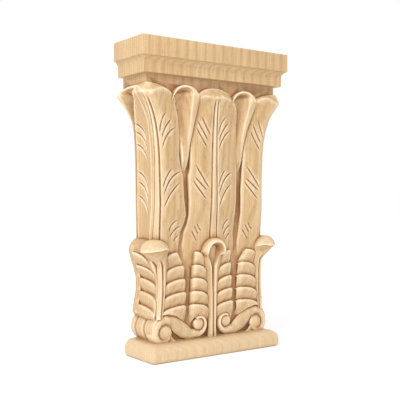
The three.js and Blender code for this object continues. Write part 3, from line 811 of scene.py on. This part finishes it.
def mark_hollows(mesh):
    """Attributes with how far each point lies under its surroundings in mm.

    The near surroundings give the attribute cut, for V cuts, and the far ones hollow, for wide gaps.
    The plain mouldings and the back get next to none of either.
    """
    rounds_at_full, full_voxel = 12, 0.34
    ends = np.empty(len(mesh.edges) * 2, np.int32)
    mesh.edges.foreach_get("vertices", ends)
    ends = (ends[0::2], ends[1::2])
    normals = np.empty(len(mesh.vertices) * 3, np.float32)
    mesh.vertices.foreach_get("normal", normals)
    normals = normals.reshape(-1, 3)
    start = get_points(mesh)
    fine_rounds = max(3, int(rounds_at_full * (full_voxel / VOXEL) ** 2))
    near = smoothed(start, ends, fine_rounds)
    far = smoothed(near, ends, fine_rounds * 9)
    height = (start[:, 2] - LOW.z) / MM
    carved = (height > BASE_TOP + 0.5) & (height < LEAF_TOP + 0.3) & (start[:, 1] < BACK - 1.0 * MM)
    for name, points in (("cut", near), ("hollow", far)):
        under = ((points - start) * normals).sum(-1) / MM
        under = np.where(carved, under, np.clip(under, -0.02, 0.1))
        mesh.attributes.new(name, "FLOAT", "POINT").data.foreach_set("value", under.astype(np.float32))


def carve():
    """All forms joined into one skin, as the block is one piece of wood, then thinned where it is plain."""
    forms = all_forms()
    bpy.ops.object.select_all(action="DESELECT")
    for form in forms:
        form.select_set(True)
    bpy.context.view_layer.objects.active = forms[0]
    bpy.ops.object.transform_apply(location=True, rotation=True, scale=True)
    bpy.ops.object.join()
    piece = bpy.context.object
    piece.name = "capital_carving"
    piece.data.name = "capital_carving"
    bpy.ops.object.mode_set(mode="EDIT")
    bpy.ops.mesh.select_all(action="SELECT")
    bpy.ops.mesh.normals_make_consistent(inside=False)
    bpy.ops.object.mode_set(mode="OBJECT")
    remesh = piece.modifiers.new("one skin", "REMESH")
    remesh.mode = "VOXEL"
    remesh.voxel_size = VOXEL * MM
    bpy.ops.object.modifier_apply(modifier=remesh.name)
    print("remeshed faces", len(piece.data.polygons))
    points = get_points(piece.data)
    points[:, 1] = np.minimum(points[:, 1], BACK)
    points[:, 2] = np.clip(points[:, 2], LOW.z, HIGH.z)
    set_points(piece.data, points)
    mark_hollows(piece.data)
    thin = piece.modifiers.new("thin", "DECIMATE")
    thin.ratio = min(1.0, MOST_TRIANGLES / (2.0 * len(piece.data.polygons)))
    bpy.ops.object.modifier_apply(modifier=thin.name)
    print("kept triangles", sum(len(face.vertices) - 2 for face in piece.data.polygons))
    bpy.ops.object.shade_smooth_by_angle(angle=math.radians(SHARP_DEGREES))
    return piece


def add_node(tree, kind, links=(), **settings):
    """One shader node with its settings, its input values, and links as (input, node, output)."""
    node = tree.nodes.new(kind)
    for key, value in settings.items():
        if key in node.inputs:
            node.inputs[key].default_value = value
        else:
            setattr(node, key, value)
    for name, source, output in links:
        tree.links.new(source.outputs[output], node.inputs[name])
    return node


def linear(code):
    """A linear colour from an sRGB hex value."""
    parts = [int(code[i:i + 2], 16) / 255 for i in (1, 3, 5)]
    return [part / 12.92 if part <= 0.04045 else ((part + 0.055) / 1.055) ** 2.4 for part in parts] + [1.0]


def plain_material(name, code, roughness):
    """One even colour, with no pattern."""
    material = bpy.data.materials.new(name)
    material.use_nodes = True
    shader = material.node_tree.nodes["Principled BSDF"]
    shader.inputs["Base Color"].default_value = linear(code)
    shader.inputs["Roughness"].default_value = roughness
    return material


def wood_material():
    """Bare sanded hardwood, grain upright, with painted shade in the cuts and hollows and painted highlight
    on the edges, where the sanded wood is also a little paler.
    """
    material = bpy.data.materials.new("pale_wood")
    material.use_nodes = True
    tree = material.node_tree
    shader = tree.nodes["Principled BSDF"]
    shader.inputs["Roughness"].default_value = 0.48
    shader.inputs["Specular IOR Level"].default_value = 0.6
    coordinates = add_node(tree, "ShaderNodeTexCoord")

    def grain(across, along, detail, turn=0.0):
        """Noise drawn out along the grain, with its size across and along in millimetres."""
        scale = (1000 / across, 1000 / across, 1000 / along)
        mapping = add_node(tree, "ShaderNodeMapping", [("Vector", coordinates, "Object")], Scale=scale,
                           Rotation=(0.03, 0.02, turn))
        return add_node(tree, "ShaderNodeTexNoise", [("Vector", mapping, "Vector")], Scale=1.0,
                        Detail=detail)

    def ranged(source, output, low, high, to_low, to_high):
        node = add_node(tree, "ShaderNodeMapRange", [("Value", source, output)])
        for key, value in (("From Min", low), ("From Max", high), ("To Min", to_low), ("To Max", to_high)):
            node.inputs[key].default_value = value
        return node

    def blended(share, first, second_code):
        """The first colour mixed with a hex colour by a share."""
        node = tree.nodes.new("ShaderNodeMix")
        node.data_type = "RGBA"
        tree.links.new(share.outputs["Result"], node.inputs[0])
        if isinstance(first, str):
            node.inputs[6].default_value = linear(first)
        else:
            tree.links.new(first.outputs[2], node.inputs[6])
        node.inputs[7].default_value = linear(second_code)
        return node

    streaks = ranged(grain(1.3, 34, 3.0), "Fac", 0.38, 0.68, 0.0, 0.8)
    colour = blended(streaks, "#CAAB7E", "#B69264")
    patches = ranged(grain(11, 110, 2.0, 0.5), "Fac", 0.4, 0.65, 0.0, 0.45)
    colour = blended(patches, colour, "#BA9662")
    # Growth rings about 3 mm apart, stretched along the grain
    turned = add_node(tree, "ShaderNodeMapping", [("Vector", coordinates, "Object")],
                      Scale=(1000, 1000, 60), Rotation=(0.02, 0.03, 0.35))
    rings = add_node(tree, "ShaderNodeTexWave", [("Vector", turned, "Vector")], bands_direction="Y",
                     Scale=0.1, Distortion=2.5, Detail=2.0)
    rings.inputs["Detail Scale"].default_value = 0.12
    colour = blended(ranged(rings, "Fac", 0.55, 1.0, 0.0, 0.5), colour, "#AA8452")
    # Pores, drawn coarser than real ones so that they show
    pores = ranged(grain(0.75, 6, 1.0), "Fac", 0.63, 0.72, 0.0, 0.65)
    colour = blended(pores, colour, "#98703F")
    # Painted light: the base is painted a little paler than the rest, standing in for the brighter light on
    # its top
    height = add_node(tree, "ShaderNodeSeparateXYZ", [("Vector", coordinates, "Object")])
    foot = LOW.z + BASE_TOP * MM
    colour = blended(ranged(height, "Z", foot + 0.002, foot - 0.001, 0.0, 0.45), colour, "#DDC6A2")
    # Painted shade: wide hollows are painted darker and browner, where shade gathers between the leaves
    hollow = add_node(tree, "ShaderNodeAttribute", attribute_name="hollow")
    colour = blended(ranged(hollow, "Fac", 0.0, 1.15, 0.0, 0.92), colour, "#A4640F")
    # Painted highlight: proud edges are painted paler, partly also the paler sanded wood there
    colour = blended(ranged(hollow, "Fac", -0.1, -1.2, 0.0, 0.7), colour, "#EAD4B2")
    # Painted shade: V cuts and fine creases are painted dark brown
    cut = add_node(tree, "ShaderNodeAttribute", attribute_name="cut")
    colour = blended(ranged(cut, "Fac", 0.03, 0.24, 0.0, 0.9), colour, "#6B3E16")
    # Painted highlight: fine ridges and rims are painted paler, partly also the paler sanded wood there
    colour = blended(ranged(cut, "Fac", -0.03, -0.2, 0.0, 0.5), colour, "#EEDCC0")
    tree.links.new(colour.outputs[2], shader.inputs["Base Color"])
    # Fibres raised by sanding, coarser than real ones
    fine = grain(0.6, 9, 2.0)
    bump = add_node(tree, "ShaderNodeBump", [("Height", fine, "Fac")], Strength=0.25, Distance=0.0002)
    tree.links.new(bump.outputs["Normal"], shader.inputs["Normal"])
    return material


def studio():
    """Pale floor, soft light from upper left, and a camera at the photograph's angle."""
    bpy.ops.object.select_all(action="DESELECT")
    bpy.ops.mesh.primitive_plane_add(size=8, location=(0, 1.5, LOW.z))
    floor = bpy.context.object
    floor.name = "floor"
    floor.data.materials.append(plain_material("pale_floor", "#FFFFFF", 1.0))
    world = bpy.data.worlds.new("studio")
    world.use_nodes = True
    world.node_tree.nodes["Background"].inputs["Color"].default_value = (1.0, 1.0, 1.0, 1)
    world.node_tree.nodes["Background"].inputs["Strength"].default_value = 1.0
    bpy.context.scene.world = world
    for name, spot, size, power in (
        ("key", (-0.95, -0.5, 0.85), 0.45, 9.0),
        ("fill", (-0.1, -1.2, 0.7), 0.8, 1.2),
    ):
        light = bpy.data.lights.new(name, "AREA")
        light.size = size
        light.energy = power
        light.color = (0.95, 0.98, 1.06)
        lamp = bpy.data.objects.new(name, light)
        bpy.context.scene.collection.objects.link(lamp)
        lamp.location = spot
        aim = Vector((0, 0, 0.13)) - Vector(spot)
        lamp.rotation_euler = aim.to_track_quat("-Z", "Y").to_euler()
    camera_height, camera_pitch, camera_yaw = 0.1322, 0.29, 35.6
    camera = bpy.data.cameras.new("camera")
    camera.lens = 65.57
    camera.sensor_width = 36
    seen = bpy.data.objects.new("camera", camera)
    bpy.context.scene.collection.objects.link(seen)
    seen.location = (-0.3663, -0.5056, camera_height)
    seen.rotation_euler = (math.radians(90 - camera_pitch), 0, math.radians(-camera_yaw))
    bpy.context.scene.camera = seen
    bpy.context.scene.view_settings.view_transform = "Standard"


studio()
carving = carve()
carving.data.materials.clear()
carving.data.materials.append(wood_material())
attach(carving, "root")
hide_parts("carved_capital")
